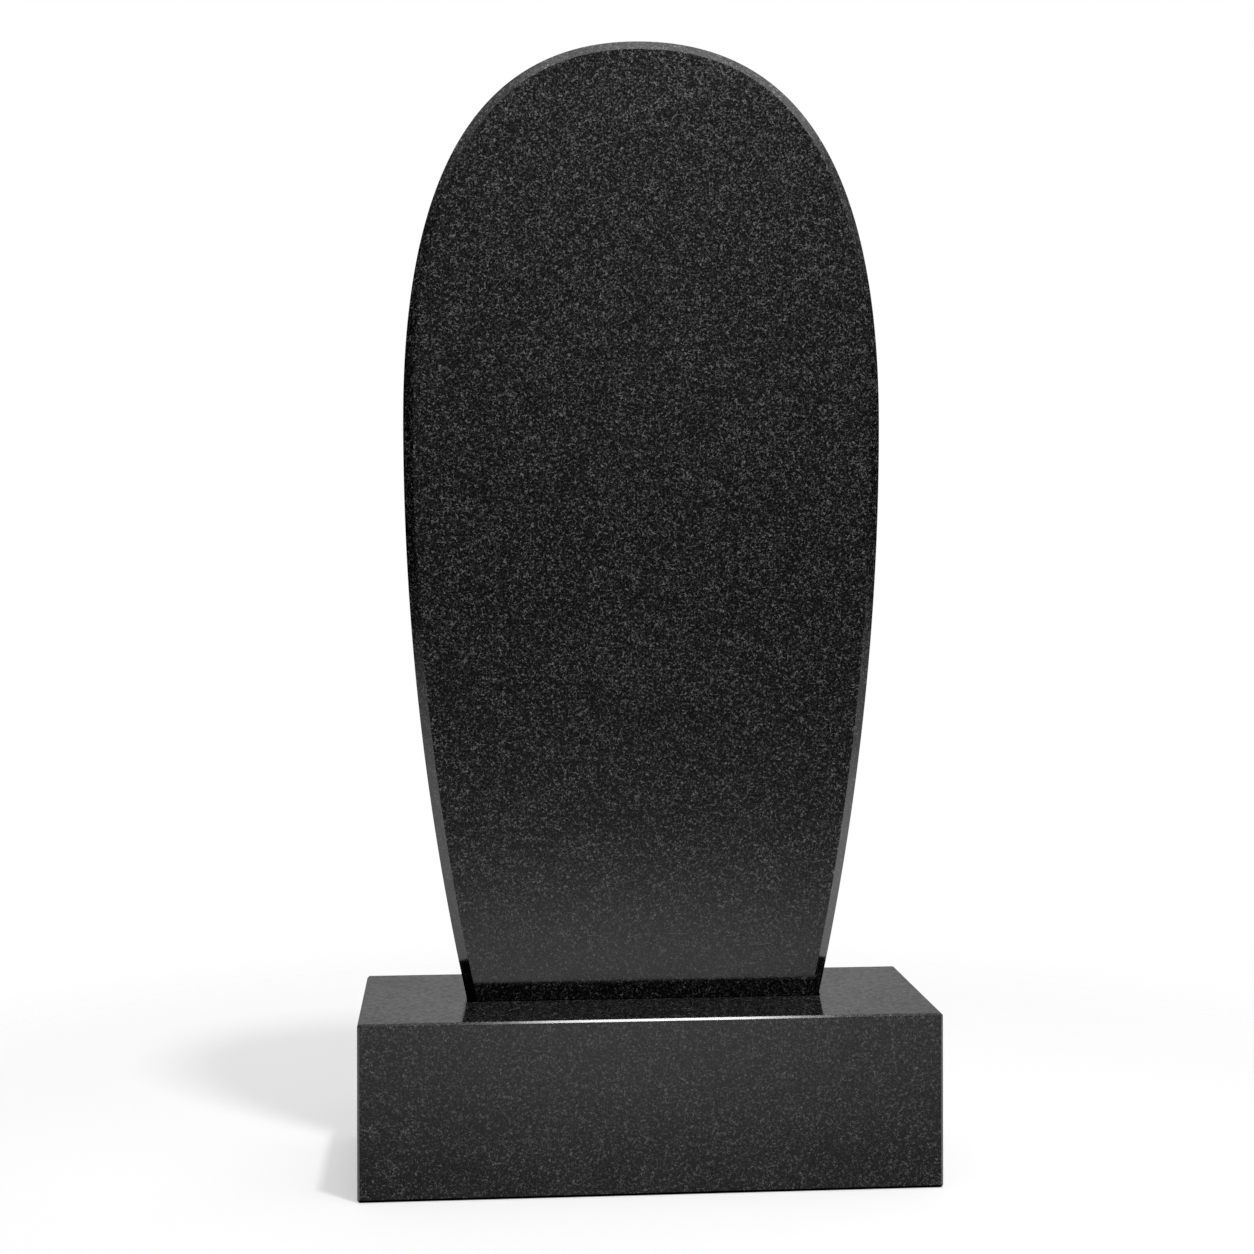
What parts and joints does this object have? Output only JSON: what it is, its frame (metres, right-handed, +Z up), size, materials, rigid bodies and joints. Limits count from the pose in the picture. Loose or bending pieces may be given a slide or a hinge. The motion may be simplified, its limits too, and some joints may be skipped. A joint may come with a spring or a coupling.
{
  "type": "headstone",
  "caption": "Upright headstone: egg-shaped polished black granite slab with a chamfered front rim, standing on a rectangular plinth with chamfered edges.",
  "frame": {"origin": "middle of the plinth's underside, at ground level", "axes": "+Z up, the stele's polished front faces -Y, +X to the right as seen from the front"},
  "size_m": [0.5, 0.2, 1.0013],
  "materials": {
    "plinth_granite": "polished",
    "stele_granite": "polished"
  },
  "bodies": {
    "root": {"plinth": "plinth_granite", "stele": "stele_granite"}
  },
  "joints": []
}
